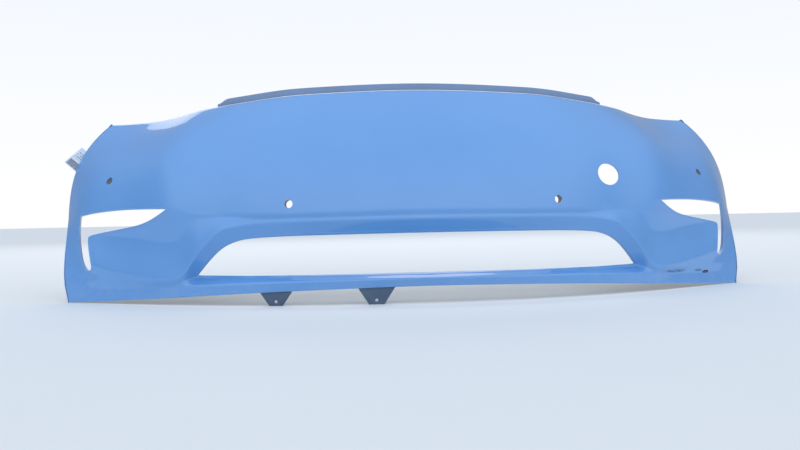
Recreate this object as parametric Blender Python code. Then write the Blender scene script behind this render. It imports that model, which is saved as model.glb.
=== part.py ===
"""Front bumper cover of a passenger car: a thin moulded skin with its brackets, holders and clips.

Frame: metres, +Z up, the nose towards -Y, X across the car. The skin is symmetric about x = 0,
y = 0 is midway between its foremost line and its rear edges, and z = 0 is the surface that it
stands on. The lines below are given with y = 0 at the nose and before the cover is raked.
"""
import bpy
import bmesh
import numpy as np
from math import atan2, cos, pi, radians, sin
from mathutils import Matrix, Vector

WALL = 0.003
FIT = 0.0025
RAIL_FIT = 0.004
CLIP_FIT = 0.0012

# How the skin is divided: columns to each side and how far they crowd towards the corners,
# then rows between one line and the next, from the rim to the lip.
HALF_COLUMNS = 20
COLUMN_CROWDING = 0.22
ZONE_STEPS = (7, 4, 2, 1, 1, 2)
SHARP_ANGLE = radians(35)

# Lines of the skin, right half, as (x, y, z) from the middle of the car to the wheel arch.
RIM = ((0, 0.148, 0.549), (0.31, 0.171, 0.542), (0.50, 0.228, 0.528), (0.60, 0.286, 0.522),
       (0.66, 0.332, 0.513), (0.75, 0.390, 0.508), (0.84, 0.427, 0.508), (0.872, 0.440, 0.510))
CREASE = ((0, 0.006, 0.215), (0.29, 0.033, 0.213), (0.44, 0.069, 0.216), (0.53, 0.100, 0.227),
          (0.66, 0.134, 0.241), (0.72, 0.172, 0.248), (0.80, 0.222, 0.251), (0.88, 0.270, 0.247),
          (0.94, 0.322, 0.239), (0.976, 0.374, 0.232))
SURROUND = ((0, 0.009, 0.198), (0.29, 0.036, 0.197), (0.44, 0.070, 0.194), (0.51, 0.081, 0.184),
            (0.563, 0.096, 0.140), (0.592, 0.108, 0.107), (0.619, 0.121, 0.066),
            (0.66, 0.140, 0.060), (0.80, 0.219, 0.080), (0.90, 0.281, 0.108), (0.978, 0.345, 0.135))
GRILLE_TOP = ((0, 0.050, 0.160), (0.295, 0.065, 0.1595), (0.438, 0.090, 0.156), (0.483, 0.099, 0.148),
              (0.521, 0.113, 0.129), (0.555, 0.129, 0.096), (0.583, 0.146, 0.068),
              (0.619, 0.126, 0.060), (0.66, 0.143, 0.052), (0.80, 0.221, 0.062), (0.90, 0.281, 0.082),
              (0.977, 0.335, 0.105))
GRILLE_FOOT = ((0, 0.045, 0.066), (0.267, 0.055, 0.066), (0.409, 0.079, 0.066), (0.52, 0.118, 0.066),
               (0.583, 0.145, 0.064), (0.619, 0.130, 0.055), (0.66, 0.146, 0.047), (0.80, 0.223, 0.050),
               (0.90, 0.279, 0.063), (0.975, 0.325, 0.075))
RIDGE = ((0, 0.001, 0.050), (0.215, 0.016, 0.0485), (0.385, 0.048, 0.047), (0.466, 0.072, 0.045),
         (0.55, 0.102, 0.044), (0.66, 0.149, 0.041), (0.822, 0.237, 0.034), (0.91, 0.284, 0.038),
         (0.970, 0.315, 0.045))
LIP = ((0, 0.019, 0.029), (0.185, 0.025, 0.027), (0.40, 0.060, 0.022), (0.51, 0.092, 0.018),
       (0.68, 0.158, 0.010), (0.77, 0.201, 0.007), (0.866, 0.256, 0.002), (0.957, 0.302, 0.0))

# The cover stands raked on its hanging tabs and its two rear corners.
RAKE = radians(2.75)
LIFT = LIP[-1][1] * sin(RAKE)
HALF_DEPTH = 0.244

RETURN_DEPTH = 0.016
RETURN_DROP = 0.003
ARCH_FLANGE = (0.004, 0.022)
POCKET_DEPTH = 0.014
POCKET_SPAN = (0.575, 0.68, 0.84, 0.93)
POCKET_EASE = 1.3

# How the face falls from the rim: full and upright in the middle, straighter at the corners.
FACE_EASE_ACROSS = 3
FACE_FULLNESS = 2.0
FACE_FULLNESS_LOSS = 0.9
FACE_LOSS_EASE = 4

# Openings, right half, as (x, z) seen from the front.
GRILLE_HALF = ((0, 0.164), (0.295, 0.1635), (0.438, 0.1605), (0.483, 0.153), (0.521, 0.135),
               (0.555, 0.102), (0.585, 0.068), (0.409, 0.063), (0, 0.063))
FOG_SLOT = ((0.660, 0.2405), (0.721, 0.2437), (0.796, 0.2456), (0.875, 0.2415), (0.924, 0.235),
            (0.928, 0.190), (0.925, 0.156), (0.917, 0.112), (0.905, 0.090), (0.892, 0.084),
            (0.886, 0.092), (0.888, 0.105), (0.896, 0.142), (0.899, 0.172), (0.894, 0.181),
            (0.858, 0.187), (0.796, 0.195), (0.735, 0.204), (0.691, 0.222))
SENSOR_PLACES = {"outer": (0.834, 0.329), "inner": (0.345, 0.254)}
SENSOR_BORE = 0.021
TOW_PLACE = (0.500, 0.319)
TOW_BORE = (0.068, 0.060)
GRILLE_CUT = (-0.25, 0.05)
SLOT_CUT = (-0.50, 0.0)
SENSOR_CUT = 0.012
TOW_CUT = 0.02
BORE_SIDES = 20
TOW_SIDES = 32

STRIP_HALF_LENGTH = 0.541
STRIP_HEIGHT = 0.0165
STRIP_WALL = 0.0025
STRIP_STAND = 0.0035
STRIP_STEPS = 24
STRIP_LEVELS = ((0.0, 0.004), (0.5, 0.009), (1.0, 0.018))

TAB_SPANS = {"under_tray_tab_outer": (-0.422, -0.340), "under_tray_tab_inner": (-0.177, -0.085)}
TAB_WALL = 0.003
TAB_SET_BACK = 0.0062
TAB_RISE = 0.014
TAB_TIP = 0.42
TAB_BORE = 0.0075
TAB_BORE_LEVEL = 0.0105
TAB_BORE_SIDES = 16

RAIL_WALL = 0.0025
RAIL_PLACES = (0.925, 0.948, 0.971)
RAIL_SPAN = (0.08, 0.70)
RAIL_ROWS = 7
FOOT_SIZE = (0.034, 0.032)
FOOT_DEPTH = 0.0085
FOOT_LEVEL = 0.42
FOOT_OFFSET = (0.009, 0.029)

LEDGE_SPAN = (0.60, 0.80)
LEDGE_STEPS = 8
LEDGE_TOP = ((0.0070, -0.0240), (0.0070, -0.0080), (0.0340, -0.0080))
LEDGE_BACK = ((0.0095, -0.0240), (0.0095, -0.0105), (0.0340, -0.0105))

HOLDER_PLATE = (0.040, 0.034)
HOLDER_WALL = 0.0025
HOLDER_BARREL = 0.030
HOLDER_DEPTH = 0.016
HOLDER_BORE = 0.022
HOLDER_SIDES = 24
PAD_SIZE = (0.034, 0.030)
PAD_FRONT = 0.0015
PAD_BACK = 0.0003
PAD_BORE = 0.026
PAD_STEPS = 6

CLIP_LEVELS = (0.065, 0.135, 0.205)
CLIP_PLATE = (0.012, 0.016)
CLIP_WALL = 0.0012
CLIP_BARREL = 0.008
CLIP_LENGTH = 0.006
CLIP_SIDES = 12
CLIP_REACH = 0.74

LABEL_CORNER = (-0.9975, 0.1866, 0.3928)
LABEL_UP = (0.6477, 0.3806, 0.6600)
LABEL_ALONG = (0.7438, -0.1285, -0.6559)
LABEL_SIZE = (0.066, 0.102)
LABEL_WALL = 0.0008


def clear_scene():
    for item in list(bpy.data.objects):
        bpy.data.objects.remove(item)


def material(name, colour, roughness, metallic=0.0):
    made = bpy.data.materials.new(name)
    made.use_nodes = True
    shader = made.node_tree.nodes["Principled BSDF"]
    shader.inputs["Base Color"].default_value = (*colour, 1.0)
    shader.inputs["Roughness"].default_value = roughness
    shader.inputs["Metallic"].default_value = metallic
    return made


def smooth_through(points, x):
    """Cubic through the points, flat across the middle of the car and free of overshoot."""
    table = np.array(points, dtype=float)
    table = np.vstack([table[1] * (-1, 1, 1), table])
    place = table[:, 0]
    widths = np.diff(place)
    slopes = np.diff(table[:, 1:], axis=0) / widths[:, None]
    inner = np.where(slopes[:-1] * slopes[1:] > 0,
                     2 * slopes[:-1] * slopes[1:] / (slopes[:-1] + slopes[1:] + 1e-12), 0)
    tangents = np.vstack([slopes[:1], inner, slopes[-1:]])
    k = int(np.clip(np.searchsorted(place, x) - 1, 0, len(widths) - 1))
    h = widths[k]
    s = (x - place[k]) / h
    a, b = table[k, 1:], table[k + 1, 1:]
    return ((2 * s ** 3 - 3 * s ** 2 + 1) * a + (s ** 3 - 2 * s ** 2 + s) * h * tangents[k]
            + (3 * s ** 2 - 2 * s ** 3) * b + (s ** 3 - s ** 2) * h * tangents[k + 1])


def line_point(points, across):
    x = abs(across) * points[-1][0]
    y, z = smooth_through(points, x)
    return np.array([x, y * cos(RAKE) + z * sin(RAKE) - HALF_DEPTH,
                     z * cos(RAKE) - y * sin(RAKE) + LIFT])


def ramp(value, low, high):
    s = np.clip((value - low) / (high - low), 0, 1)
    return s * s * (3 - 2 * s)


def pocket(x, s):
    """How far the panel beside the grille is sunk at x, s of the way down to the surround."""
    a, b, c, d = POCKET_SPAN
    return POCKET_DEPTH * ramp(x, a, b) * (1 - ramp(x, c, d)) * sin(pi * s) ** POCKET_EASE


LINES = (RIM, CREASE, SURROUND, GRILLE_TOP, GRILLE_FOOT, RIDGE, LIP)


def surface(across, down):
    """Outer face of the skin: across runs from -1 to 1, down from -1 (return flange) over
    0 (rim), 1 (crease), 2 (surround), 3 and 4 (grille edges), 5 (ridge) to 6 (lip)."""
    side = -1 if across < 0 else 1
    if down < 0:
        x, y, z = line_point(RIM, across)
        return Vector((side * x, y - down * RETURN_DEPTH, z + down * RETURN_DROP))
    zone = min(int(down), len(LINES) - 2)
    s = down - zone
    upper = line_point(LINES[zone], across)
    lower = line_point(LINES[zone + 1], across)
    mix = np.array([s, s, s])
    if zone == 0:
        rise = 1 - s
        fullness = FACE_FULLNESS - FACE_FULLNESS_LOSS * abs(across) ** FACE_LOSS_EASE
        mix = 1 - np.array([rise ** FACE_EASE_ACROSS, rise ** fullness, rise])
    point = upper + (lower - upper) * mix
    if zone == 1:
        point[1] += pocket(point[0], s)
    return Vector((side * point[0], point[1], point[2]))


def outward(across, down, step=0.004):
    """Unit normal of the outer face."""
    along = surface(across + step, down) - surface(across - step, down)
    falling = surface(across, down + step) - surface(across, down - step)
    return falling.cross(along).normalized()


def find(x, z, half_width=0.97, upper_height=0.30, tries=30):
    """The surface's (across, down) above the crease at a place seen from the front."""
    across, down = x / half_width, 0.6
    for _ in range(tries):
        here = surface(across, down)
        across += (x - here.x) / half_width
        down -= (z - here.z) / upper_height
    return across, down


def find_on_side(level, low_end=5.99, tries=40, gain=8):
    """How far down the side edge of the skin comes to a level."""
    down = 5.9
    for _ in range(tries):
        down = np.clip(down - (level - surface(1, down).z) * gain, 1.0, low_end)
    return down


def add_object(name, mesh_maker, look, smooth=True):
    mesh = bpy.data.meshes.new(name)
    shape = bmesh.new()
    mesh_maker(shape)
    bmesh.ops.recalc_face_normals(shape, faces=shape.faces)
    shape.to_mesh(mesh)
    shape.free()
    made = bpy.data.objects.new(name, mesh)
    bpy.context.collection.objects.link(made)
    if look:
        mesh.materials.append(look)
    if smooth:
        mesh.shade_smooth()
        mesh.set_sharp_from_angle(angle=SHARP_ANGLE)
    return made


def add_grid(shape, rows):
    """An open sheet through rows of points."""
    sheet = [[shape.verts.new(point) for point in row] for row in rows]
    for upper, lower in zip(sheet, sheet[1:]):
        for k in range(len(upper) - 1):
            shape.faces.new((upper[k], lower[k], lower[k + 1], upper[k + 1]))


def add_shell(shape, front, back):
    """A closed solid between two sheets of the same rows and columns."""
    outer = [[shape.verts.new(point) for point in row] for row in front]
    inner = [[shape.verts.new(point) for point in row] for row in back]
    last_row, last = len(front) - 1, len(front[0]) - 1
    for sheet, flip in ((outer, False), (inner, True)):
        for upper, lower in zip(sheet, sheet[1:]):
            for k in range(last):
                loop = (upper[k], lower[k], lower[k + 1], upper[k + 1])
                shape.faces.new(loop[::-1] if flip else loop)
    for k in range(last):
        shape.faces.new((outer[0][k + 1], inner[0][k + 1], inner[0][k], outer[0][k]))
        shape.faces.new((outer[last_row][k], inner[last_row][k], inner[last_row][k + 1],
                         outer[last_row][k + 1]))
    for r in range(last_row):
        shape.faces.new((outer[r][0], inner[r][0], inner[r + 1][0], outer[r + 1][0]))
        shape.faces.new((outer[r + 1][last], inner[r + 1][last], inner[r][last], outer[r][last]))


def add_prism(shape, outline, low, high, place=Matrix()):
    """A closed prism: the outline's (a, b) points drawn out from low to high along local Z."""
    ends = [[shape.verts.new(place @ Vector((a, b, level))) for a, b in outline]
            for level in (low, high)]
    shape.faces.new(ends[0][::-1])
    shape.faces.new(ends[1])
    count = len(outline)
    for k in range(count):
        n = (k + 1) % count
        shape.faces.new((ends[0][k], ends[0][n], ends[1][n], ends[1][k]))


def round_outline(width, sides, height=None):
    tall = height or width
    return [(width / 2 * cos(2 * pi * k / sides), tall / 2 * sin(2 * pi * k / sides))
            for k in range(sides)]


def rectangle(width, height):
    return [(-width / 2, -height / 2), (width / 2, -height / 2), (width / 2, height / 2),
            (-width / 2, height / 2)]


def from_front():
    """Turns local (a, b, up) into (x, z, towards the nose)."""
    return Matrix(((1, 0, 0, 0), (0, 0, -1, 0), (0, 1, 0, 0), (0, 0, 0, 1)))


def raked_front():
    """As from_front, for outlines measured before the cover is raked."""
    return Matrix.Translation((0, -HALF_DEPTH, LIFT)) @ Matrix.Rotation(-RAKE, 4, "X") @ from_front()


def facing(across, down, inside=0.0):
    """A place on the skin with local Z along its outward normal and local Y up it."""
    normal = outward(across, down)
    level = Vector((0, 0, 1)).cross(normal).normalized()
    upright = normal.cross(level)
    origin = surface(across, down) - normal * inside
    turned = Matrix((level, upright, normal)).transposed().to_4x4()
    return Matrix.Translation(origin) @ turned


def cut(target, cutters, operation="DIFFERENCE"):
    for tool in cutters:
        tool.hide_render = True
        tool.display_type = "WIRE"
        boolean = target.modifiers.new(tool.name, "BOOLEAN")
        boolean.operation = operation
        boolean.solver = "EXACT"
        boolean.object = tool


def columns(half_count):
    """Places across, closer together towards the corners."""
    half = [k / half_count for k in range(half_count + 1)]
    half = [k + COLUMN_CROWDING * k * (1 - k) for k in half]
    return [-k for k in half[:0:-1]] + half


def skin_rows():
    downs = [-1.0]
    for zone, steps in enumerate(ZONE_STEPS):
        downs += [zone + k / steps for k in range(steps)]
    downs.append(float(len(ZONE_STEPS)))
    back, inward = ARCH_FLANGE
    rows = []
    for down in downs:
        row = [surface(across, down) for across in columns(HALF_COLUMNS)]
        first = row[0] + Vector((inward, back, 0))
        last = row[-1] + Vector((-inward, back, 0))
        rows.append([first] + row + [last])
    return rows


def make_skin(look):
    skin = add_object("bumper_skin", lambda shape: add_grid(shape, skin_rows()), look)
    wall = skin.modifiers.new("wall", "SOLIDIFY")
    wall.thickness = WALL
    wall.offset = -1
    wall.use_even_offset = True
    right = list(GRILLE_HALF)
    left = [(-x, z) for x, z in right if x > 0]
    grille = right + left[::-1]
    cutters = [add_object("cut_grille", lambda s: add_prism(s, grille, *GRILLE_CUT, raked_front()),
                          None, False)]
    for side, word in ((-1, "left"), (1, "right")):
        outline = [(side * x, z) for x, z in FOG_SLOT]
        cutters.append(add_object("cut_slot_" + word, lambda s, o=outline: add_prism(
            s, o, *SLOT_CUT, raked_front()), None, False))
        for spot, (x, z) in SENSOR_PLACES.items():
            frame = facing(*find(side * x, z))
            cutters.append(add_object("cut_sensor_%s_%s" % (spot, word), lambda s, f=frame: add_prism(
                s, round_outline(SENSOR_BORE, BORE_SIDES), -SENSOR_CUT, SENSOR_CUT, f), None, False))
    frame = facing(*find(*TOW_PLACE))
    cutters.append(add_object("cut_tow_hole", lambda s: add_prism(
        s, round_outline(TOW_BORE[0], TOW_SIDES, TOW_BORE[1]), -TOW_CUT, TOW_CUT, frame), None, False))
    cut(skin, cutters)
    return skin


def make_strip(look):
    """Raised strip along the bonnet edge, standing on the return flange."""
    front, back = [], []
    for level, lean in STRIP_LEVELS:
        row = []
        for k in range(STRIP_STEPS + 1):
            x = STRIP_HALF_LENGTH * (2 * k / STRIP_STEPS - 1)
            _, y, z = line_point(RIM, x / RIM[-1][0])
            row.append(Vector((x, y + lean, z + STRIP_STAND + level * STRIP_HEIGHT)))
        front.append(row)
        back.append([point + Vector((0, STRIP_WALL, 0)) for point in row])
    return add_object("bonnet_edge_strip", lambda s: add_shell(s, front[::-1], back[::-1]), look)


def make_tab(name, look):
    """Hanging plate behind the lip, a trapezoid with one bolt hole."""
    low, high = TAB_SPANS[name]
    middle, width = (low + high) / 2, high - low
    _, lip_y, top = line_point(LIP, middle / LIP[-1][0])
    tip = TAB_TIP / 2 * width
    outline = [(-tip, 0), (tip, 0), (width / 2, top), (width / 2, top + TAB_RISE),
               (-width / 2, top + TAB_RISE), (-width / 2, top)]
    ends = [line_point(LIP, place / LIP[-1][0])[1] for place in (low, high)]
    turn = Matrix.Rotation(atan2(ends[1] - ends[0], width), 4, "Z")
    frame = Matrix.Translation((middle, lip_y + TAB_SET_BACK, 0)) @ turn @ from_front()
    tab = add_object(name, lambda s: add_prism(s, outline, -TAB_WALL / 2, TAB_WALL / 2, frame),
                     look, False)
    bore = frame @ Matrix.Translation((0, TAB_BORE_LEVEL, 0))
    hole = add_object("cut_" + name, lambda s: add_prism(
        s, round_outline(TAB_BORE, TAB_BORE_SIDES), -2 * TAB_WALL, 2 * TAB_WALL, bore), None, False)
    cut(tab, [hole])
    return tab


def make_fender_bracket(name, side, look):
    """Guide rail inside the upper side edge, with a flat foot for its screw."""
    front, back = [], []
    for k in range(RAIL_ROWS):
        down = RAIL_SPAN[0] + (RAIL_SPAN[1] - RAIL_SPAN[0]) * k / (RAIL_ROWS - 1)
        front_row, back_row = [], []
        for across in RAIL_PLACES:
            normal = outward(side * across, down)
            point = surface(side * across, down)
            front_row.append(point - normal * (WALL + RAIL_FIT))
            back_row.append(point - normal * (WALL + RAIL_FIT + RAIL_WALL))
        front.append(front_row if side > 0 else front_row[::-1])
        back.append(back_row if side > 0 else back_row[::-1])
    bracket = add_object(name, lambda s: add_shell(s, front, back), look)
    inward, backward = FOOT_OFFSET
    seat = surface(side * RAIL_PLACES[0], FOOT_LEVEL) + Vector((-side * inward, backward, 0))
    frame = Matrix.Translation(seat) @ from_front()
    foot = add_object("join_" + name, lambda s: add_prism(
        s, rectangle(*FOOT_SIZE), -FOOT_DEPTH, 0, frame), None, False)
    cut(bracket, [foot], "UNION")
    return bracket


def make_headlamp_bracket(name, side, look):
    """Ledge below the return flange that carries the lamp's front edge: a plate with a turned-down leg."""
    first, last = LEDGE_SPAN
    places = [first + (last - first) * k / LEDGE_STEPS for k in range(LEDGE_STEPS + 1)]
    sheets = []
    for profile in (LEDGE_TOP, LEDGE_BACK):
        rows = []
        for lean, level in profile:
            points = [line_point(RIM, x / RIM[-1][0]) for x in places]
            rows.append([Vector((side * x, y + lean, z + level)) for x, y, z in points])
        sheets.append(rows)
    return add_object(name, lambda s: add_shell(s, *sheets), look)


def make_sensor_holder(name, side, spot, look):
    """Seat for a parking sensor: a base plate with a round barrel and its bore."""
    x, z = SENSOR_PLACES[spot]
    frame = facing(*find(side * x, z), WALL + FIT)
    holder = add_object(name, lambda s: add_prism(
        s, rectangle(*HOLDER_PLATE), -HOLDER_WALL, 0, frame), look, False)
    barrel = add_object("join_" + name, lambda s: add_prism(
        s, round_outline(HOLDER_BARREL, HOLDER_SIDES), -HOLDER_DEPTH, -HOLDER_WALL / 2, frame), None, False)
    bore = add_object("cut_" + name, lambda s: add_prism(
        s, round_outline(HOLDER_BORE, BORE_SIDES), -2 * HOLDER_DEPTH, HOLDER_DEPTH, frame), None, False)
    cut(holder, [barrel], "UNION")
    cut(holder, [bore])
    return holder


def make_sensor_pad(name, side, spot, look):
    """Foam adhesive pad between the skin and a sensor holder, with a round hole."""
    x, z = SENSOR_PLACES[spot]
    frame = facing(*find(side * x, z), WALL + FIT)
    width, height = PAD_SIZE
    front, back = [], []
    for k in range(PAD_STEPS + 1):
        front_row, back_row = [], []
        for j in range(PAD_STEPS + 1):
            seat = frame @ Vector((width * (j / PAD_STEPS - 0.5), height * (0.5 - k / PAD_STEPS),
                                   PAD_BACK))
            across, down = find(seat.x, seat.z)
            front_row.append(surface(across, down) - outward(across, down) * (WALL + PAD_FRONT))
            back_row.append(seat)
        front.append(front_row)
        back.append(back_row)
    pad = add_object(name, lambda s: add_shell(s, front, back), look, False)
    bore = add_object("cut_" + name, lambda s: add_prism(
        s, round_outline(PAD_BORE, BORE_SIDES), -HOLDER_DEPTH, HOLDER_DEPTH, frame), None, False)
    cut(pad, [bore])
    return pad


def make_arch_clip(name, side, level, look, step=0.1):
    """Clip nut behind the wheel-arch flange: a square plate with a threaded barrel."""
    down = find_on_side(level)
    edge = surface(side, down)
    back, inward = ARCH_FLANGE
    folded = Vector((-side * inward, back, 0))
    upright = (surface(side, down - step) - surface(side, down + step)).normalized()
    normal = upright.cross(folded).normalized() * -side
    turned = Matrix((upright.cross(normal), upright, normal)).transposed().to_4x4()
    middle = edge + folded * CLIP_REACH
    frame = Matrix.Translation(middle + normal * CLIP_FIT) @ turned
    clip = add_object(name, lambda s: add_prism(s, rectangle(*CLIP_PLATE), 0, CLIP_WALL, frame),
                      look, False)
    barrel = add_object("join_" + name, lambda s: add_prism(
        s, round_outline(CLIP_BARREL, CLIP_SIDES), CLIP_WALL / 2, CLIP_LENGTH, frame), None, False)
    cut(clip, [barrel], "UNION")
    return clip


def make_label(look):
    """Paper stock label stuck behind the left flange, its outer end standing clear of the skin."""
    upward, along = Vector(LABEL_UP).normalized(), Vector(LABEL_ALONG).normalized()
    turned = Matrix((upward, along, upward.cross(along))).transposed().to_4x4()
    frame = Matrix.Translation(LABEL_CORNER) @ turned
    height, length = LABEL_SIZE
    outline = [(0, 0), (height, 0), (height, length), (0, length)]
    return add_object("stock_label", lambda s: add_prism(
        s, outline, -LABEL_WALL / 2, LABEL_WALL / 2, frame), look, False)


def main():
    clear_scene()
    paint = material("paint", (0.17, 0.38, 0.78), 0.22)
    plastic = material("black_plastic", (0.03, 0.03, 0.035), 0.55)
    foam = material("foam_tape", (0.02, 0.02, 0.02), 0.9)
    steel = material("clip_steel", (0.45, 0.45, 0.47), 0.35, 1.0)
    paper = material("label_paper", (0.75, 0.78, 0.82), 0.7)
    make_skin(paint)
    make_strip(plastic)
    for name in TAB_SPANS:
        make_tab(name, plastic)
    for side, word in ((-1, "left"), (1, "right")):
        make_fender_bracket("fender_bracket_" + word, side, plastic)
        make_headlamp_bracket("headlamp_bracket_" + word, side, plastic)
        for spot in SENSOR_PLACES:
            make_sensor_holder("sensor_holder_%s_%s" % (spot, word), side, spot, plastic)
            make_sensor_pad("sensor_pad_%s_%s" % (spot, word), side, spot, foam)
        for k, level in enumerate(CLIP_LEVELS, 1):
            make_arch_clip("arch_clip_%s_%d" % (word, k), side, level, steel)
    make_label(paper)


main()
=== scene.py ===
"""A used front bumper cover in white clear-coated paint, coloured light blue as painted blue sky
light, with its brackets and stock label.
"""
from math import cos, pi, radians, sin

import bpy
import numpy as np
from mathutils import Matrix, Vector
from mathutils.bvhtree import BVHTree


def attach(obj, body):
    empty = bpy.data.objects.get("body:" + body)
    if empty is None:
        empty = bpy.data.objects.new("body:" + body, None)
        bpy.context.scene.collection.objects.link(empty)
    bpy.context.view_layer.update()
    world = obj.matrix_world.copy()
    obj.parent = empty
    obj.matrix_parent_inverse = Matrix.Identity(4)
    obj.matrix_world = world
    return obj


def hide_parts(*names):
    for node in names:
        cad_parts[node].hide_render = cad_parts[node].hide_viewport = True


WALL = 0.003
# Columns across the skin, how far they crowd towards the corners, and how finely a line is faired.
COLUMNS = 256
COLUMN_CROWDING = 0.22
LINE_POINTS = 1601

# Lines of the skin, right half, as (x, y, z) from the middle of the car to the wheel arch.
RIM = ((0, 0.148, 0.549), (0.31, 0.171, 0.542), (0.50, 0.228, 0.528), (0.60, 0.286, 0.522),
       (0.66, 0.332, 0.513), (0.75, 0.390, 0.508), (0.84, 0.427, 0.508), (0.872, 0.440, 0.510))
CREASE = ((0, 0.006, 0.215), (0.29, 0.033, 0.213), (0.44, 0.069, 0.216), (0.53, 0.100, 0.227),
          (0.66, 0.134, 0.241), (0.72, 0.172, 0.248), (0.80, 0.222, 0.251), (0.88, 0.270, 0.247),
          (0.94, 0.322, 0.239), (0.976, 0.374, 0.232))
SURROUND = ((0, 0.009, 0.198), (0.29, 0.036, 0.197), (0.44, 0.070, 0.194), (0.51, 0.081, 0.184),
            (0.563, 0.096, 0.140), (0.592, 0.108, 0.107), (0.619, 0.121, 0.066),
            (0.66, 0.140, 0.060), (0.80, 0.219, 0.080), (0.90, 0.281, 0.108), (0.978, 0.345, 0.135))
GRILLE_TOP = ((0, 0.050, 0.160), (0.295, 0.065, 0.1595), (0.438, 0.090, 0.156),
              (0.483, 0.099, 0.148), (0.521, 0.113, 0.129), (0.555, 0.129, 0.096),
              (0.583, 0.146, 0.068), (0.619, 0.126, 0.060), (0.66, 0.143, 0.052),
              (0.80, 0.221, 0.062), (0.90, 0.281, 0.082), (0.977, 0.335, 0.105))
GRILLE_FOOT = ((0, 0.045, 0.066), (0.267, 0.055, 0.066), (0.409, 0.079, 0.066),
               (0.52, 0.118, 0.066), (0.583, 0.145, 0.064), (0.619, 0.130, 0.055),
               (0.66, 0.146, 0.047), (0.80, 0.223, 0.050), (0.90, 0.279, 0.063),
               (0.975, 0.325, 0.075))
RIDGE = ((0, 0.001, 0.050), (0.215, 0.016, 0.0485), (0.385, 0.048, 0.047), (0.466, 0.072, 0.045),
         (0.55, 0.102, 0.044), (0.66, 0.149, 0.041), (0.822, 0.237, 0.034), (0.91, 0.284, 0.038),
         (0.970, 0.315, 0.045))
LIP = ((0, 0.019, 0.029), (0.185, 0.025, 0.027), (0.40, 0.060, 0.022), (0.51, 0.092, 0.018),
       (0.68, 0.158, 0.010), (0.77, 0.201, 0.007), (0.866, 0.256, 0.002), (0.957, 0.302, 0.0))
LINES = (RIM, CREASE, SURROUND, GRILLE_TOP, GRILLE_FOOT, RIDGE, LIP)
# How far each line is faired along the car, and the radius rolled on its edge.
FAIRING = (0.022, 0.022, 0.010, 0.008, 0.008, 0.022, 0.022)
EDGE_RADIUS = (0.006, 0.007, 0.005, 0.003, 0.003, 0.004, 0.002)
# Rows in front of each line's edge and over the edge itself, from the return flange to the lip.
ROW_PLAN = ((3, 3), (60, 6), (26, 5), (7, 2), (5, 2), (6, 5), (5, 3))
MOST_EDGE_SHARE = 0.3

RAKE = radians(2.75)
LIFT = LIP[-1][1] * sin(RAKE)
HALF_DEPTH = 0.244
RETURN_DEPTH = 0.016
RETURN_DROP = 0.003
RETURN_ROWS_SHARE = 0.6
LIP_RETURN = (0.0032, 0.0002)
ARCH_FLANGE = (0.004, 0.022)
ARCH_FOLD = (1.0, 0.5, 0.09)
ARCH_EDGE_EASE = 0.12
FOLD_RUN_OUT = 0.018
FOLD_LEAST = 0.05

# How the face falls from the rim: full and upright in the middle, straighter at the corners.
FACE_EASE_ACROSS = 3
FACE_FULLNESS = 2.0
FACE_FULLNESS_LOSS = 0.9
FACE_LOSS_EASE = 4

# The sunk panel beside the grille, and the small step of the shelf above the grille.
POCKET_DEPTH = 0.014
POCKET_SPAN = (0.575, 0.68, 0.84, 0.93)
POCKET_EASE = 1.3
SHELF_STEP = 0.0035
SHELF_RISE = (0.0, 0.25)
SHELF_FALL = (0.45, 1.0)
SHELF_END = (0.62, 0.80)

GRILLE_HALF = ((0, 0.164), (0.295, 0.1635), (0.438, 0.1605), (0.483, 0.153), (0.521, 0.135),
               (0.555, 0.102), (0.585, 0.068), (0.409, 0.063), (0, 0.063))
FOG_SLOT = ((0.660, 0.2405), (0.721, 0.2437), (0.796, 0.2456), (0.875, 0.2415), (0.924, 0.235),
            (0.928, 0.190), (0.925, 0.156), (0.917, 0.112), (0.905, 0.090), (0.892, 0.084),
            (0.886, 0.092), (0.888, 0.105), (0.896, 0.142), (0.899, 0.172), (0.894, 0.181),
            (0.858, 0.187), (0.796, 0.195), (0.735, 0.204), (0.691, 0.222))
SENSOR_PLACES = {"outer": (0.834, 0.329), "inner": (0.345, 0.254)}
SENSOR_BORE = 0.021
TOW_PLACE = (0.500, 0.319)
TOW_BORE = (0.068, 0.060)
GRILLE_CUT = (-0.25, 0.05)
SLOT_CUT = (-0.50, 0.0)
SENSOR_CUT = 0.012
TOW_CUT = 0.02
BORE_SIDES = 48
TOW_SIDES = 96

# Depth of each opening's turned-in edge, and width of the raised land round it.
GRILLE_EDGE = (0.012, 0.0065)
SLOT_EDGE = (0.014, 0.0050)

# Webs above the grille: places across, levels, foot depths, and half thickness.
WEB_PLACES = (0.045, 0.115, 0.185, 0.255, 0.325, 0.395)
WEB_LEVELS = (0.212, 0.198, 0.1835)
WEB_SINK = 0.0008
WEB_DEPTHS = (0.010, 0.012)
WEB_HALF = 0.0009
WEB_EDGE = 0.0004

STRIP_HALF_LENGTH = 0.541
STRIP_COLUMNS = 240
STRIP_TAPER = 0.030
STRIP_HEIGHT = 0.0165
STRIP_END_HEIGHT = 0.35
STRIP_LEVELS = ((1.0, 0.018), (0.75, 0.0130), (0.5, 0.009), (0.25, 0.0060), (0.0, 0.004))
STRIP_FOOT = 0.0008
STRIP_STEP = 0.0027
STRIP_WALL = 0.0022
STRIP_EDGE = 0.0006

LABEL_CORNER = Vector((-0.9975, 0.1866, 0.3928))
LABEL_UP = Vector((0.6477, 0.3806, 0.6600)).normalized()
LABEL_ALONG = Vector((0.7438, -0.1285, -0.6559)).normalized()
LABEL_SIZE = (0.066, 0.102)
LABEL_POINTS = (25, 37)
LABEL_CURL = 0.0012
LABEL_WALL = 0.0004

FLOOR_SIZE = 60
SHARP_ANGLE = 35
EDGE_SEGMENTS = 2
MERGE = 0.00001

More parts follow.
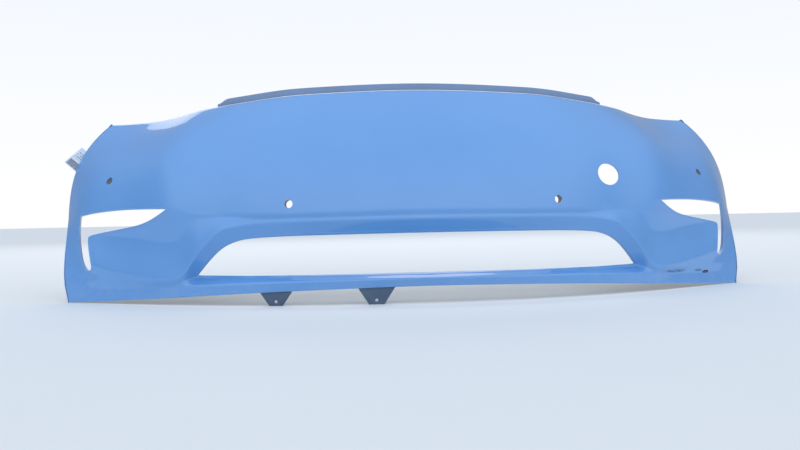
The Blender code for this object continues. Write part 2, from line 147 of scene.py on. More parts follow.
CAMERA_PLACE = (-0.2616, -2.1583, 0.2201)
CAMERA_AHEAD = Vector((0.0984, 0.9951, -0.0124))
CAMERA_UP = Vector((0.0213, 0.0103, 0.9998))
CAMERA_LENS = 35.28


# ---------------------------------------------------------------- surface of the skin

def smooth_through(points, x):
    """Cubic through the points at every x, flat across the middle of the car, without overshoot."""
    table = np.array(points, dtype=float)
    table = np.vstack([table[1] * (-1, 1, 1), table])
    place = table[:, 0]
    widths = np.diff(place)[:, None]
    slopes = np.diff(table[:, 1:], axis=0) / widths
    same_way = slopes[:-1] * slopes[1:] > 0
    inner = np.where(same_way, 2 * slopes[:-1] * slopes[1:] / (slopes[:-1] + slopes[1:] + 1e-12), 0)
    tangents = np.vstack([slopes[:1], inner, slopes[-1:]])
    k = np.clip(np.searchsorted(place, x) - 1, 0, len(widths) - 1)
    h = widths[k]
    s = (x[:, None] - place[k][:, None]) / h
    return ((2 * s ** 3 - 3 * s ** 2 + 1) * table[k, 1:]
            + (s ** 3 - 2 * s ** 2 + s) * h * tangents[k]
            + (3 * s ** 2 - 2 * s ** 3) * table[k + 1, 1:]
            + (s ** 3 - s ** 2) * h * tangents[k + 1])


def faired_line(points, spread):
    """The line on an even run of places from -1 to 1, blurred along the car by spread."""
    run = np.linspace(-1, 1, LINE_POINTS)
    reach = points[-1][0]
    yz = smooth_through(points, np.abs(run) * reach)
    step = reach * (run[1] - run[0])
    half = int(3 * spread / step)
    weight = np.exp(-0.5 * (np.arange(-half, half + 1) * step / spread) ** 2)
    weight /= weight.sum()
    smooth = [np.convolve(np.pad(c, half, mode="reflect", reflect_type="odd"), weight, "valid")
              for c in yz.T]
    y, z = smooth
    return run, np.array([run * reach, y * cos(RAKE) + z * sin(RAKE) - HALF_DEPTH,
                          z * cos(RAKE) - y * sin(RAKE) + LIFT])


FAIRED = [faired_line(points, spread) for points, spread in zip(LINES, FAIRING)]


def on_line(k, across):
    run, table = FAIRED[k]
    return np.array([np.interp(across, run, row) for row in table])


def ramp(value, low, high):
    s = np.clip((value - low) / (high - low), 0, 1)
    return s * s * (3 - 2 * s)


def pocket(x, s):
    """How far the panel beside the grille is sunk at x, s of the way down to the surround."""
    a, b, c, d = POCKET_SPAN
    sunk = POCKET_DEPTH * ramp(x, a, b) * (1 - ramp(x, c, d))
    return sunk * np.sin(pi * np.clip(s, 0, 1)) ** POCKET_EASE


def shelf(x, s):
    """How far the face steps back just below the crease."""
    along = ramp(s, *SHELF_RISE) * (1 - ramp(s, *SHELF_FALL))
    return SHELF_STEP * along * (1 - ramp(x, *SHELF_END))


def in_zone(zone, across, s):
    """Points of the outer face between line `zone` and the next, s of the way down."""
    upper, lower = on_line(zone, across), on_line(zone + 1, across)
    mix = np.array([s, s, s])
    if zone == 0:
        rise = 1 - s
        fullness = FACE_FULLNESS - FACE_FULLNESS_LOSS * np.abs(across) ** FACE_LOSS_EASE
        mix = 1 - np.array([rise ** FACE_EASE_ACROSS, rise ** fullness, rise])
    point = upper + (lower - upper) * mix
    if zone == 1:
        x = np.abs(point[0])
        point[1] += pocket(x, s)
        point[1] += shelf(x, s)
    return point


def zone_height(zone, across):
    return np.linalg.norm(on_line(zone + 1, across) - on_line(zone, across), axis=0)


def edge_share(line, zone, across):
    """How much of a zone's height the rolled edge of one of its lines takes."""
    return np.minimum(EDGE_RADIUS[line] / zone_height(zone, across), MOST_EDGE_SHARE)


def level_shift(across, back, up):
    """The same small move for every place across."""
    return np.array([0 * across, 0 * across + back, 0 * across + up])


def skin_rows(across):
    """Rows of points over the outer face, each edge rolled by a small curve."""
    rim = on_line(0, across)
    back = level_shift(across, RETURN_DEPTH, -RETURN_DROP)
    count = ROW_PLAN[0][0]
    rows = [rim + back * (1 - k / count * RETURN_ROWS_SHARE) for k in range(count + 1)]
    before = rows[-1]
    last = len(LINES) - 1
    for line in range(last + 1):
        corner = on_line(line, across)
        if line < last:
            share = edge_share(line, line, across)
            after = in_zone(line, across, share)
        else:
            after = corner + level_shift(across, *LIP_RETURN)
        steps = ROW_PLAN[line][1]
        for k in range(1, steps):
            t = k / steps
            rows.append((1 - t) ** 2 * before + 2 * t * (1 - t) * corner + t ** 2 * after)
        rows.append(after)
        if line == last:
            break
        next_share = edge_share(line + 1, line, across)
        count = ROW_PLAN[line + 1][0]
        for k in range(1, count + 1):
            s = share + (1 - next_share - share) * k / count
            rows.append(in_zone(line, across, s))
        before = rows[-1]
    return np.array(rows)


def columns(count):
    """Places across, closer together towards the corners."""
    half = np.linspace(0, 1, count // 2 + 1)
    half = (1 + COLUMN_CROWDING) * half - COLUMN_CROWDING * half ** 2
    return np.concatenate([-half[:0:-1], half])


def skin_points():
    """Rows and columns of the outer face, with the wheel-arch flanges folded in at both ends."""
    rows = skin_rows(columns(COLUMNS))
    back, inward = ARCH_FLANGE
    top, foot = sum(ROW_PLAN[0]), len(rows) - ROW_PLAN[-1][1] - 1
    run = np.concatenate([[0], np.cumsum(np.linalg.norm(np.diff(rows[:, :, -1], axis=0), axis=1))])
    fade = ramp(run - run[top], 0, FOLD_RUN_OUT) * ramp(run[foot] - run, 0, FOLD_RUN_OUT)
    full = FOLD_LEAST + (1 - FOLD_LEAST) * fade
    ends = []
    for side, column in ((1, rows[:, :, 0]), (-1, rows[:, :, -1])):
        turn = full[:, None] * np.array([side * inward, back, 0])
        ends.append([column + turn * share for share in ARCH_FOLD])
    left = [c[:, :, None] for c in ends[0]]
    right = [c[:, :, None] for c in ends[1][::-1]]
    body = rows.copy()
    body[:, :, 0] += (rows[:, :, 1] - rows[:, :, 0]) * ARCH_EDGE_EASE
    body[:, :, -1] += (rows[:, :, -2] - rows[:, :, -1]) * ARCH_EDGE_EASE
    return np.concatenate(left + [body] + right, axis=2)


# ---------------------------------------------------------------- small modelling helpers

def deselect():
    if bpy.context.object and bpy.context.object.mode != "OBJECT":
        bpy.ops.object.mode_set(mode="OBJECT")
    bpy.ops.object.select_all(action="DESELECT")


def only(piece):
    deselect()
    piece.select_set(True)
    bpy.context.view_layer.objects.active = piece


def named(name):
    piece = bpy.context.object
    piece.name = piece.data.name = name
    return piece


def apply_all(piece):
    only(piece)
    for modifier in list(piece.modifiers):
        bpy.ops.object.modifier_apply(modifier=modifier.name)


def round_over(piece, width, segments=EDGE_SEGMENTS, angle=SHARP_ANGLE):
    bevel = piece.modifiers.new("edge", "BEVEL")
    bevel.width = width
    bevel.segments = segments
    bevel.limit_method = "ANGLE"
    bevel.angle_limit = radians(angle)
    apply_all(piece)


def smooth(piece):
    only(piece)
    bpy.ops.object.shade_smooth_by_angle(angle=radians(SHARP_ANGLE))


def boolean(piece, tool, operation="DIFFERENCE"):
    cut = piece.modifiers.new("cut", "BOOLEAN")
    cut.operation = operation
    cut.solver = "EXACT"
    cut.object = tool
    apply_all(piece)
    bpy.data.objects.remove(tool)


def join(pieces):
    deselect()
    for piece in pieces:
        piece.select_set(True)
    bpy.context.view_layer.objects.active = pieces[0]
    bpy.ops.object.join()
    return pieces[0]


def sheet(name, points):
    """An open sheet: a grid primitive whose vertices are moved to rows x columns of points."""
    rows, _, cols = points.shape
    deselect()
    bpy.ops.mesh.primitive_grid_add(x_subdivisions=cols - 1, y_subdivisions=rows - 1, size=2)
    piece = named(name)
    flat = np.empty(rows * cols * 3)
    piece.data.vertices.foreach_get("co", flat)
    flat = flat.reshape(-1, 3)
    col = np.rint((flat[:, 0] + 1) / 2 * (cols - 1)).astype(int)
    row = np.rint((1 - flat[:, 1]) / 2 * (rows - 1)).astype(int)
    piece.data.vertices.foreach_set("co", points[row, :, col].ravel())
    piece.data.update()
    return piece


def plate(name, outline, low, high, place=Matrix()):
    """A filled outline drawn out from low to high along local Z, then put in place."""
    deselect()
    bpy.ops.mesh.primitive_circle_add(vertices=len(outline), radius=1, fill_type="NGON")
    piece = named(name)
    for vertex, (a, b) in zip(piece.data.vertices, outline):
        vertex.co = (a, b, low)
    bpy.ops.object.mode_set(mode="EDIT")
    bpy.ops.mesh.select_all(action="SELECT")
    bpy.ops.mesh.extrude_region_move(TRANSFORM_OT_translate={"value": (0, 0, high - low)})
    bpy.ops.mesh.select_all(action="SELECT")
    bpy.ops.mesh.normals_make_consistent(inside=False)
    bpy.ops.object.mode_set(mode="OBJECT")
    piece.data.transform(place)
    piece.data.update()
    return piece


def round_outline(width, sides, height=None):
    tall = height or width
    return [(width / 2 * cos(2 * pi * k / sides), tall / 2 * sin(2 * pi * k / sides))
            for k in range(sides)]


def eased_outline(points, steps=5, tight=0.004, acute=-0.4, middle=0.5):
    """A closed outline drawn through the middles of its sides, its acute corners kept tight."""
    loop = np.array(points, dtype=float)
    count = len(loop)
    eased = []
    for k in range(count):
        before, corner, after = loop[k - 1], loop[k], loop[(k + 1) % count]
        sides = before - corner, after - corner
        lengths = [np.linalg.norm(side) for side in sides]
        folded = sides[0] @ sides[1] / (lengths[0] * lengths[1])
        reach = [middle if folded < acute else min(middle, tight / length) for length in lengths]
        start, end = corner + sides[0] * reach[0], corner + sides[1] * reach[1]
        for j in range(steps):
            t = j / steps
            eased.append(tuple((1 - t) ** 2 * start + 2 * t * (1 - t) * corner + t ** 2 * end))
        if max(reach) < middle:
            eased.append(tuple(end))
    return eased


def from_front():
    """Turns local (a, b, up) into (x, z, towards the nose)."""
    return Matrix(((1, 0, 0, 0), (0, 0, -1, 0), (0, 1, 0, 0), (0, 0, 0, 1)))


def raked_front():
    """As from_front, for outlines given before the cover is raked."""
    raked = Matrix.Translation((0, -HALF_DEPTH, LIFT)) @ Matrix.Rotation(-RAKE, 4, "X")
    return raked @ from_front()


class Face:
    """The skin's outer face as something to measure from."""

    def __init__(self, piece):
        mesh = piece.data
        self.tree = BVHTree.FromPolygons([v.co.copy() for v in mesh.vertices],
                                         [tuple(p.vertices) for p in mesh.polygons])

    def at(self, x, z):
        """The first point behind (x, z) as seen from the front, and the normal there."""
        point, normal, _, _ = self.tree.ray_cast(Vector((x, -1, z)), Vector((0, 1, 0)))
        if normal.y > 0:
            normal = -normal
        return point, normal

    def frame(self, x, z, inside=0.0):
        """Local Z along the outward normal and local Y up the face."""
        point, normal = self.at(x, z)
        level = Vector((0, 0, 1)).cross(normal).normalized()
        turned = Matrix((level, normal.cross(level), normal)).transposed().to_4x4()
        return Matrix.Translation(point - normal * inside) @ turned


# ---------------------------------------------------------------- shader maths

class Sock:
    """A socket whose arithmetic adds Math nodes."""

    def __init__(self, look, socket):
        self.look = look
        self.socket = socket

    def math(self, operation, *others):
        return self.look.node("ShaderNodeMath", {"operation": operation}, self, *others)

    def __add__(self, other):
        return self.math("ADD", other)

    __radd__ = __add__

    def __mul__(self, other):
        return self.math("MULTIPLY", other)

    __rmul__ = __mul__

    def __sub__(self, other):
        return self.math("SUBTRACT", other)

    def __rsub__(self, other):
        return self.look.node("ShaderNodeMath", {"operation": "SUBTRACT"}, other, self)

    def __truediv__(self, other):
        return self.math("DIVIDE", other)

    def __pow__(self, other):
        return self.math("POWER", other)

    def above(self, low, high):
        """0 below low, 1 above high, eased between."""
        eased = {"interpolation_type": "SMOOTHSTEP"}
        return self.look.node("ShaderNodeMapRange", eased, self, low, high, 0.0, 1.0)


class Look:
    """A material under construction."""

    def __init__(self, name, colour, roughness, **fixed):
        self.material = bpy.data.materials.new(name)
        self.material.use_nodes = True
        self.tree = self.material.node_tree
        self.shader = self.tree.nodes["Principled BSDF"]
        self.shader.inputs["Base Color"].default_value = (*colour, 1)
        self.shader.inputs["Roughness"].default_value = roughness
        for key, value in fixed.items():
            self.shader.inputs[key.replace("_", " ")].default_value = value

    def node(self, kind, settings, *values, out=0, **more):
        made = self.tree.nodes.new(kind)
        for key, value in settings.items():
            if key == "stops":
                self.stops(made.color_ramp, value)
            else:
                setattr(made, key, value)
        for slot, value in enumerate(values):
            self.feed(made.inputs[slot], value)
        for key, value in more.items():
            self.feed(made.inputs[key.replace("_", " ")], value)
        return Sock(self, made.outputs[out])

    def stops(self, colours, wanted):
        for k, (place, colour) in enumerate(wanted):
            stop = colours.elements[k] if k < len(colours.elements) else colours.elements.new(place)
            stop.position = place
            stop.color = (*colour, 1)

    def feed(self, socket, value):
        if isinstance(value, Sock):
            self.tree.links.new(value.socket, socket)
        elif value is not None:
            socket.default_value = value

    def place(self):
        """Object coordinates."""
        return self.node("ShaderNodeTexCoord", {}, out=3)

    def axes(self):
        split = self.node("ShaderNodeSeparateXYZ", {}, self.place())
        return [Sock(self, split.socket.node.outputs[k]) for k in range(3)]

    def noise(self, scale, detail=3.0, roughness=0.55, at=None):
        at = at or self.place()
        return self.node("ShaderNodeTexNoise", {}, at, None, scale, detail, roughness)

    def stretched(self, factors):
        return self.node("ShaderNodeMapping", {}, self.place(), None, None, factors)

    def mix(self, factor, first, second):
        made = self.tree.nodes.new("ShaderNodeMix")
        made.data_type = "RGBA"
        for slot, value in ((0, factor), (6, first), (7, second)):
            if isinstance(value, tuple):
                value = (*value, 1)
            self.feed(made.inputs[slot], value)
        return Sock(self, made.outputs[2])

    def bump(self, height, distance, strength):
        return self.node("ShaderNodeBump", {}, Strength=strength, Distance=distance,
                         Height=height)

    def wear(self, **sockets):
        for key, value in sockets.items():
            self.feed(self.shader.inputs[key.replace("_", " ")], value)
        return self.material


def near(axes, centre, reach, soft=0.5):
    """1 inside an ellipse of the given half-sizes round a place seen from the front, 0 outside."""
    x, _, z = axes
    far = ((x - centre[0]) / reach[0]) ** 2.0 + ((z - centre[1]) / reach[1]) ** 2.0
    return 1 - far.above(1 - soft, 1 + soft)


def paint():
    """Basecoat under clear coat, coloured light blue as painted blue sky light on white paint: dust
    low down, fine swirls, scuffs at the corner.
    """
    look = Look("light_blue_paint", (0.125, 0.33, 0.73), 0.38, Coat_Weight=1.0,
                Coat_Roughness=0.03, Coat_IOR=1.65, IOR=1.45)
    axes = look.axes()
    z = axes[2]
    # Two light blues varied at random: white paint coloured as painted blue sky light.
    painted_sky_blues = (0.098, 0.305, 0.675), (0.112, 0.325, 0.70)
    dust_grey, grit_grey = (0.36, 0.45, 0.58), (0.10, 0.13, 0.18)
    scratch_blue, bare_black = (0.05, 0.07, 0.12), (0.012, 0.014, 0.018)
    scratch_places = ((0.712, 0.051), (0.036, 0.0045)), ((0.803, 0.047), (0.014, 0.004))
    chip_place = (0.832, 0.041), (0.013, 0.0042)

    cloud = look.noise(2.2, 4.0)
    film = look.noise(38.0, 5.0, 0.65)
    low = 1 - z.above(0.01, 0.11)
    drifts = cloud.above(0.5, 0.8) * film.above(0.45, 0.7)
    dust = low * film.above(0.35, 0.75) * 0.16 + drifts * 0.07
    dusty = look.mix(dust, look.mix(cloud.above(0.3, 0.7), *painted_sky_blues), dust_grey)
    grit = look.noise(520.0, 2.0).above(0.70, 0.74) * film.above(0.5, 0.6)
    specked = look.mix(grit * 0.55, dusty, grit_grey)

    streak = look.noise(60.0, 4.0, 0.7, look.stretched((1.0, 1.0, 26.0)))
    first, second = [near(axes, *spot) for spot in scratch_places]
    scratched = streak.above(0.49, 0.53) * (first + second)
    chip = near(axes, *chip_place, 0.25) * look.noise(260.0, 3.0).above(0.38, 0.44)
    scuffed = look.mix(scratched * 0.8, specked, scratch_blue)
    damage = (scratched + chip).math("MINIMUM", 1.0)

    peel, ripple = look.noise(240.0, 1.0, 0.4), look.noise(7.0, 2.0)
    height = peel * 0.06 + ripple * 0.9 - damage * 3.0
    return look.wear(Base_Color=look.mix(chip, scuffed, bare_black),
                     Roughness=0.36 + dust * 0.25 + damage * 0.3,
                     Coat_Weight=(1 - dust * 0.6 - damage).math("MAXIMUM", 0.0),
                     Normal=look.bump(height, 0.00025, 0.5))


def bare_plastic(name, colour, roughness):
    """Moulded grained plastic with a dusty bloom."""
    look = Look(name, colour, roughness)
    dust_grey, highlight = (0.19, 0.20, 0.21), tuple(1.5 * c for c in colour)
    dust = look.noise(9.0, 5.0, 0.6).above(0.42, 0.78)
    grain = look.noise(900.0, 2.0)
    base = look.mix(grain.above(0.3, 0.7), colour, highlight)
    return look.wear(Base_Color=look.mix(dust * 0.35, base, dust_grey),
                     Roughness=roughness + dust * 0.22, Normal=look.bump(grain, 0.0002, 0.45))


def inside_skin():
    """Unpainted back of the skin: dark moulded plastic, blue overspray in from the edges."""
    look = Look("unpainted_back", (0.045, 0.05, 0.055), 0.45)
    z = look.axes()[2]
    greys = (0.036, 0.040, 0.045), (0.070, 0.074, 0.080)
    dust_grey, overspray_blue = (0.17, 0.175, 0.18), (0.11, 0.25, 0.50)
    cloud = look.noise(7.0, 5.0, 0.6)
    flow = look.noise(5.0, 3.0, 0.5, look.stretched((1.0, 1.0, 9.0)))
    grain = look.noise(700.0, 2.0)
    edges = (1 - z.above(0.02, 0.10)) * 0.5 + z.above(0.47, 0.56) * 0.6
    mist = (edges * cloud.above(0.25, 0.65)).math("MINIMUM", 0.85)
    dusty = look.mix(cloud.above(0.5, 0.8) * 0.35, look.mix(flow.above(0.35, 0.7), *greys),
                     dust_grey)
    return look.wear(Base_Color=look.mix(mist, dusty, overspray_blue),
                     Roughness=0.42 + cloud * 0.25, Normal=look.bump(grain, 0.0002, 0.4))


def clip_steel():
    """Zinc-plated spring steel with brown bloom in patches."""
    look = Look("zinc_plated_steel", (0.55, 0.56, 0.57), 0.35, Metallic=1.0)
    zinc, rust = (0.56, 0.57, 0.58), (0.27, 0.17, 0.10)
    bloom = look.noise(180.0, 4.0, 0.65).above(0.52, 0.72)
    return look.wear(Base_Color=look.mix(bloom, zinc, rust), Roughness=0.3 + bloom * 0.4,
                     Metallic=1 - bloom * 0.7)


def foam():
    """Black closed-cell adhesive foam."""
    look = Look("foam_tape", (0.02, 0.02, 0.021), 0.9)
    pore, skin_grey = (0.016, 0.016, 0.017), (0.05, 0.05, 0.052)
    cells = look.noise(1400.0, 1.0)
    return look.wear(Base_Color=look.mix(cells.above(0.35, 0.7), pore, skin_grey),
                     Normal=look.bump(cells, 0.0002, 0.8))


def label_paper():
    """Coated white paper, tinted light blue as painted blue sky light: a dark band of bars along
    its lower edge and grey rows above.
    """
    look = Look("label_paper", (0.55, 0.66, 0.80), 0.5)
    place = look.place()
    # Both paper tones carry the painted blue sky light; the darker one is for stains.
    sky_tinted_papers, ink_blue = ((0.62, 0.72, 0.84), (0.48, 0.55, 0.62)), (0.03, 0.045, 0.08)

    def distance(direction):
        vector_maths = "ShaderNodeVectorMath"
        offset = look.node(vector_maths, {"operation": "SUBTRACT"}, place, tuple(LABEL_CORNER))
        return look.node(vector_maths, {"operation": "DOT_PRODUCT"}, offset, tuple(direction),
                         out=1)

    def between(value, low, high, soft=0.0005):
        return value.above(low, low + soft) * (1 - value.above(high, high + soft))

    run, rise = distance(LABEL_ALONG), distance(LABEL_UP)
    rows = (rise * 900.0).math("SINE").above(0.1, 0.4)
    marks = look.noise(330.0, 2.0, 0.5).above(0.46, 0.5)
    bars = (run * 2600.0).math("SINE").above(-0.2, 0.2) * look.noise(150.0, 0.0).above(0.3, 0.5)
    band = between(rise, 0.002, 0.022) * run.above(0.003, 0.0035)
    block = between(rise, 0.030, 0.052) * run.above(0.006, 0.0065)
    ink = (band * (0.45 + bars * 0.5) + block * rows * marks * 0.8).math("MINIMUM", 1.0)
    stain = look.noise(60.0, 4.0).above(0.45, 0.75) * 0.3
    return look.wear(Base_Color=look.mix(ink, look.mix(stain, *sky_tinted_papers), ink_blue),
                     Roughness=0.45 + stain * 0.3)


def floor_look():
    look = Look("pale_floor", (0.90, 0.88, 0.84), 0.8, Specular_IOR_Level=0.2)
    pales = (0.89, 0.87, 0.83), (0.91, 0.89, 0.85)
    return look.wear(Base_Color=look.mix(look.noise(3.0, 4.0), *pales))


# ---------------------------------------------------------------- pieces

def slot_outline(side):
    return [(side * x, z) for x, z in eased_outline(FOG_SLOT)]


def grille_outline():
    right = list(GRILLE_HALF)
    left = [(-x, z) for x, z in right if x > 0]
    middle = [p for p in right + left[::-1] if p[0] != 0]
    return eased_outline(middle)


def make_tools(face):
    """Every opening of the skin as one set of bodies to cut with."""
    tools = [plate("tool_grille", grille_outline(), *GRILLE_CUT, raked_front())]
    round_hole = round_outline(SENSOR_BORE, BORE_SIDES)
    for side in (-1, 1):
        tools.append(plate("tool_slot", slot_outline(side), *SLOT_CUT, raked_front()))
        for x, z in SENSOR_PLACES.values():
            tools.append(plate("tool_sensor", round_hole, -SENSOR_CUT, SENSOR_CUT,
                               face.frame(side * x, z)))
    tow_hole = round_outline(TOW_BORE[0], TOW_SIDES, TOW_BORE[1])
    tools.append(plate("tool_tow", tow_hole, -TOW_CUT, TOW_CUT, face.frame(*TOW_PLACE)))
    return join(tools)


def outside_of(loop):
    """Unit normals of a closed outline, pointing away from it."""
    tangent = np.roll(loop, -1, axis=0) - np.roll(loop, 1, axis=0)
    tangent /= np.linalg.norm(tangent, axis=1)[:, None]
    away = np.stack([tangent[:, 1], -tangent[:, 0]], axis=1)
    ahead = np.roll(loop, -1, axis=0)
    area = np.sum(loop[:, 0] * ahead[:, 1] - ahead[:, 0] * loop[:, 1])
    return away if area > 0 else -away


def return_wall(name, outline, face, look, depth, land, proud=0.0007, wall=0.0022):
    """The moulded edge of an opening: a raised land on the face that rolls and turns inwards.

    Each point of the section is (outwards from the opening, into the skin, measured along the
    face's own normal rather than along the cut)."""
    loop = np.array(outline)
    outside = outside_of(loop)
    flat = raked_front()
    lap, root = 0.0003, 0.0022
    section = ((land, 0.0006, True), (land - 0.0006, -proud * 0.6, True),
               (land - 0.0014, -proud, True), (root, -proud, True), (0.0010, -proud * 0.7, True),
               (0.0002, 0.0006, True), (-lap, root, False), (-lap, depth * 0.5, False),
               (-lap, depth, False), (wall, depth, False), (wall, depth * 0.5, False),
               (wall, root, False))
    ahead = flat.to_3x3() @ Vector((0, 0, 1))

    def seat(a, b, tries=4):
        """The opening's own line of cut followed back to the face."""
        start = flat @ Vector((a, b, 0))
        spot = start
        for _ in range(tries):
            spot = start + ahead * ((face.at(spot.x, spot.z)[0].y - start.y) / ahead.y)
        return spot

    seat_offset = 0.0004
    rings = []
    for shift, deep, local in section:
        spread = shift if local and shift > 0 else seat_offset
        ring = []
        for corner, away in zip(loop, outside):
            spot = seat(*(corner + away * spread))
            a, b = away * (shift - spread)
            sunk = face.at(spot.x, spot.z)[1] if local else ahead
            ring.append(tuple(spot + Vector((a, 0, b)) - sunk * deep))
        rings.append(ring)
    points = np.array(rings + [rings[0]])
    points = np.concatenate([points, points[:, :1]], axis=1)
    piece = sheet(name, np.transpose(points, (0, 2, 1)))
    piece.data.materials.append(look)
    bpy.ops.object.mode_set(mode="EDIT")
    bpy.ops.mesh.select_all(action="SELECT")
    bpy.ops.mesh.remove_doubles(threshold=2 * MERGE)
    bpy.ops.mesh.normals_make_consistent(inside=False)
    bpy.ops.object.mode_set(mode="OBJECT")
    return piece


def moulded_web(x, face, look):
    """A web across the corner between the skin's back and the grille's turned-in edge."""
    y = [face.at(x, z)[0].y + WALL - WEB_SINK for z in WEB_LEVELS]
    top, middle, foot = zip(y, WEB_LEVELS)
    foot_deep, middle_deep = WEB_DEPTHS
    outline = [top, middle, foot, (foot[0] + foot_deep, foot[1]),
               (middle[0] + middle_deep, middle[1])]
    across = Matrix(((0, 0, 1, 0), (1, 0, 0, 0), (0, 1, 0, 0), (0, 0, 0, 1)))
    web = plate("web", outline, x - WEB_HALF, x + WEB_HALF, across)
    round_over(web, WEB_EDGE, 1, 40)
    web.data.materials.append(look)
    return web


def make_skin(look, inside_look):
    """The skin: faired sheet, wall, cut openings, their turned-in edges, and the webs."""
    skin = sheet("painted_skin", skin_points())
    face = Face(skin)
    skin.data.materials.append(look)
    skin.data.materials.append(inside_look)
    wall = skin.modifiers.new("wall", "SOLIDIFY")
    wall.thickness = WALL
    wall.offset = -1 if outer_side_out(skin) else 1
    wall.material_offset = 1
    apply_all(skin)
    boolean(skin, make_tools(face))
    edges = [return_wall("grille_return", grille_outline(), face, look, *GRILLE_EDGE)]
    edges += [return_wall("slot_return", slot_outline(side), face, look, *SLOT_EDGE)
              for side in (-1, 1)]
    webs = [moulded_web(side * x, face, inside_look) for x in WEB_PLACES for side in (-1, 1)]
    skin = join([skin] + edges + webs)
    skin.name = skin.data.name = "painted_skin"
    for vertex in skin.data.vertices:
        vertex.co.z = max(vertex.co.z, 0.0)
    smooth(skin)
    return skin


def outer_side_out(piece):
    """True if the sheet's faces look towards the nose."""
    total = sum((p.normal * p.area for p in piece.data.polygons), start=Vector())
    return total.y < 0


def refined(node, name, bevel):
    """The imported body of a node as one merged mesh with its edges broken."""
    deselect()
    source = bpy.data.objects[node]
    piece = source.copy()
    piece.data = source.data.copy()
    for key in list(piece.keys()):
        del piece[key]
    bpy.context.collection.objects.link(piece)
    piece.name = piece.data.name = name
    only(piece)
    bpy.ops.object.mode_set(mode="EDIT")
    bpy.ops.mesh.select_all(action="SELECT")
    bpy.ops.mesh.remove_doubles(threshold=MERGE)
    bpy.ops.mesh.dissolve_limited(angle_limit=radians(1))
    bpy.ops.object.mode_set(mode="OBJECT")
    round_over(piece, bevel, angle=40)
    smooth(piece)
    return piece


def make_strip():
    """Raised strip along the bonnet edge: a leaning lip with tapered ends."""
    x = np.linspace(-STRIP_HALF_LENGTH, STRIP_HALF_LENGTH, STRIP_COLUMNS + 1)
    rim = on_line(0, x / RIM[-1][0])
    ends = ramp(STRIP_HALF_LENGTH - np.abs(x), 0.0, STRIP_TAPER)
    height = STRIP_HEIGHT * (STRIP_END_HEIGHT + (1 - STRIP_END_HEIGHT) * ends)
    rows = []
    for level, lean in STRIP_LEVELS:
        lift = STRIP_FOOT + STRIP_STEP * min(1, 4 * level) + level * height
        rows.append([x, rim[1] + lean, rim[2] + lift])
    strip = sheet("bonnet_edge_seal", np.array(rows))
    wall = strip.modifiers.new("wall", "SOLIDIFY")
    wall.thickness = STRIP_WALL
    wall.offset = -1 if outer_side_out(strip) else 1
    apply_all(strip)
    round_over(strip, STRIP_EDGE, angle=50)
    smooth(strip)
    return strip


def make_label():
    """Stuck paper label, its free end curling a little."""
    height, length = LABEL_SIZE
    row_count, column_count = LABEL_POINTS
    face_out = LABEL_UP.cross(LABEL_ALONG).normalized()
    rows = []
    for s in np.linspace(1, 0, row_count):
        row = [LABEL_CORNER + LABEL_UP * height * s + LABEL_ALONG * length * k
               + face_out * LABEL_CURL * (0.5 - (1 - k) ** 2) * (s - 0.5)
               for k in np.linspace(0, 1, column_count)]
        rows.append(np.array(row).T)
    label = sheet("paper_label", np.array(rows))
    wall = label.modifiers.new("wall", "SOLIDIFY")
    wall.thickness = LABEL_WALL
    wall.offset = 0
    apply_all(label)
    smooth(label)
    return label


def ready(piece, node, look=None):
    """Gives a piece its finish and lets it stand for a node."""
    if look:
        piece.data.materials.clear()
        piece.data.materials.append(look)
    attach(piece, "root")
    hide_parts(node)


# ---------------------------------------------------------------- scene

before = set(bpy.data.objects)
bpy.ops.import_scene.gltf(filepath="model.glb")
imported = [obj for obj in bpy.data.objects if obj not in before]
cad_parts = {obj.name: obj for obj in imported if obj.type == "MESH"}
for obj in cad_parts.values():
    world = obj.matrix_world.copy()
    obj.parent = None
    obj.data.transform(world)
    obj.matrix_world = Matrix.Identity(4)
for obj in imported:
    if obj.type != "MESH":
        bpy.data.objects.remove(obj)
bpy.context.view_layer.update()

bracket_look = bare_plastic("bracket_plastic", (0.11, 0.115, 0.12), 0.5)
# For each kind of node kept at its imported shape: ending, broken edge, slot and look.
REFINED = {
    "under_tray_tab": ("_plate", 0.0006, "bare_plastic",
                       bare_plastic("tab_plastic", (0.05, 0.085, 0.14), 0.55)),
    "sensor_holder": ("_moulding", 0.0005, "bare_plastic",
                      bare_plastic("holder_plastic", (0.27, 0.275, 0.27), 0.45)),
    "fender_bracket": ("_moulding", 0.0005, "bare_plastic", bracket_look),
    "headlamp_bracket": ("_moulding", 0.0005, "bare_plastic", bracket_look),
    "arch_clip": ("_nut", 0.0003, "clip_steel", clip_steel()),
    "sensor_pad": ("_foam", 0.0002, "foam_tape", foam()),
}

ready(make_skin(paint(), inside_skin()), "bumper_skin")
# The strip's blue-grey is the paint's painted sky blue made darker and greyer: painted shade and a
# painted dim reflection.
ready(make_strip(), "bonnet_edge_strip",
      bare_plastic("seal_rubber", (0.13, 0.20, 0.33), 0.5))
ready(make_label(), "stock_label", label_paper())
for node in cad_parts:
    for kind, (ending, edge, slot, look) in REFINED.items():
        if node.startswith(kind):
            ready(refined(node, node + ending, edge), node, look)

deselect()
bpy.ops.mesh.primitive_plane_add(size=FLOOR_SIZE, location=(0, 0, 0))
floor = named("studio_floor")
floor.data.materials.append(floor_look())


def area_light(name, place, aim, size, power):
    lamp = bpy.data.lights.new(name, "AREA")
    lamp.shape = "RECTANGLE"
    lamp.size, lamp.size_y = size
    lamp.energy = power
    holder = bpy.data.objects.new(name, lamp)
    bpy.context.collection.objects.link(holder)
    holder.location = place
    holder.rotation_euler = (Vector(aim) - Vector(place)).to_track_quat("-Z", "Y").to_euler()


area_light("rear_softbox", (0, 4.6, 3.4), (0, 0, 0.3), (7.0, 2.4), 60)


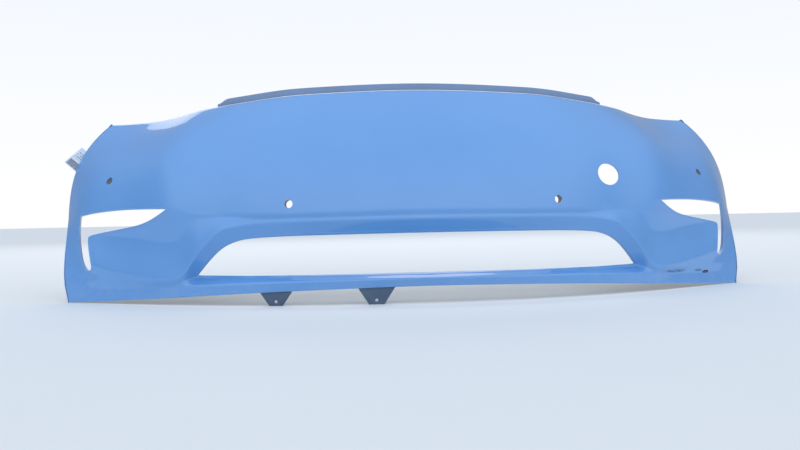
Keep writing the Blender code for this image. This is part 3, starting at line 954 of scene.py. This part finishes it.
def surround():
    """A soft dome, white low down and bluer overhead, brightest above the front of the cover.

    To either side its lower part is dimmer, with a ragged upper edge, as among buildings. What
    the camera sees directly is evenly bright."""
    world = bpy.data.worlds.new("soft_surround")
    world.use_nodes = True
    tree = world.node_tree
    background = tree.nodes["Background"]

    def add(kind, operation=None, **values):
        made = tree.nodes.new(kind)
        if operation:
            made.operation = operation
        for key, value in values.items():
            made.inputs[key.replace("_", " ")].default_value = value
        return made

    def link(source, output, target, socket):
        tree.links.new(source.outputs[output], target.inputs[socket])

    place = add("ShaderNodeTexCoord")
    split = add("ShaderNodeSeparateXYZ")
    link(place, "Generated", split, 0)

    sky = add("ShaderNodeValToRGB")
    stops = (0.04, (1.0, 1.0, 1.0, 1)), (0.80, (0.68, 0.81, 1.0, 1))
    for stop, (spot, colour) in zip(sky.color_ramp.elements, stops):
        stop.position, stop.color = spot, colour
    link(split, "Z", sky, 0)
    link(sky, 0, background, "Color")

    front = add("ShaderNodeVectorMath", "DOT_PRODUCT")
    front.inputs[1].default_value = (0.0, -0.64, 0.77)
    link(place, "Generated", front, 0)
    dome = add("ShaderNodeMapRange", From_Min=-0.1, From_Max=0.95, To_Min=0.42, To_Max=1.38)
    dome.interpolation_type = "SMOOTHSTEP"
    link(front, "Value", dome, "Value")

    level = add("ShaderNodeMath", "ABSOLUTE")
    link(split, "X", level, 0)
    sides = add("ShaderNodeMapRange", From_Min=0.72, From_Max=0.90)
    link(level, 0, sides, "Value")
    ragged = add("ShaderNodeTexNoise", Scale=7.0, Detail=4.0)
    link(place, "Generated", ragged, "Vector")
    skyline = add("ShaderNodeMath", "MULTIPLY_ADD")
    skyline.inputs[1].default_value = 0.3
    link(ragged, 0, skyline, 0)
    link(split, "Z", skyline, 2)
    low = add("ShaderNodeMapRange", From_Min=0.80, From_Max=0.74)
    link(skyline, 0, low, "Value")
    walls = add("ShaderNodeMath", "MULTIPLY")
    link(sides, 0, walls, 0)
    link(low, 0, walls, 1)
    shade = add("ShaderNodeMapRange", To_Min=1.0, To_Max=0.60)
    link(walls, 0, shade, "Value")
    lit = add("ShaderNodeMath", "MULTIPLY")
    link(dome, 0, lit, 0)
    link(shade, 0, lit, 1)

    path = add("ShaderNodeLightPath")
    strength = add("ShaderNodeMapRange", To_Max=1.0)
    link(path, "Is Camera Ray", strength, "Value")
    link(lit, 0, strength, "To Min")
    link(strength, 0, background, "Strength")
    bpy.context.scene.world = world


surround()
bpy.context.scene.view_settings.view_transform = "Standard"

optics = bpy.data.cameras.new("view")
optics.lens = CAMERA_LENS
camera = bpy.data.objects.new("view", optics)
bpy.context.collection.objects.link(camera)
ahead = CAMERA_AHEAD.normalized()
right = ahead.cross(CAMERA_UP).normalized()
turned = Matrix((right, right.cross(ahead), -ahead)).transposed().to_4x4()
camera.matrix_world = Matrix.Translation(CAMERA_PLACE) @ turned
bpy.context.scene.camera = camera

deselect()
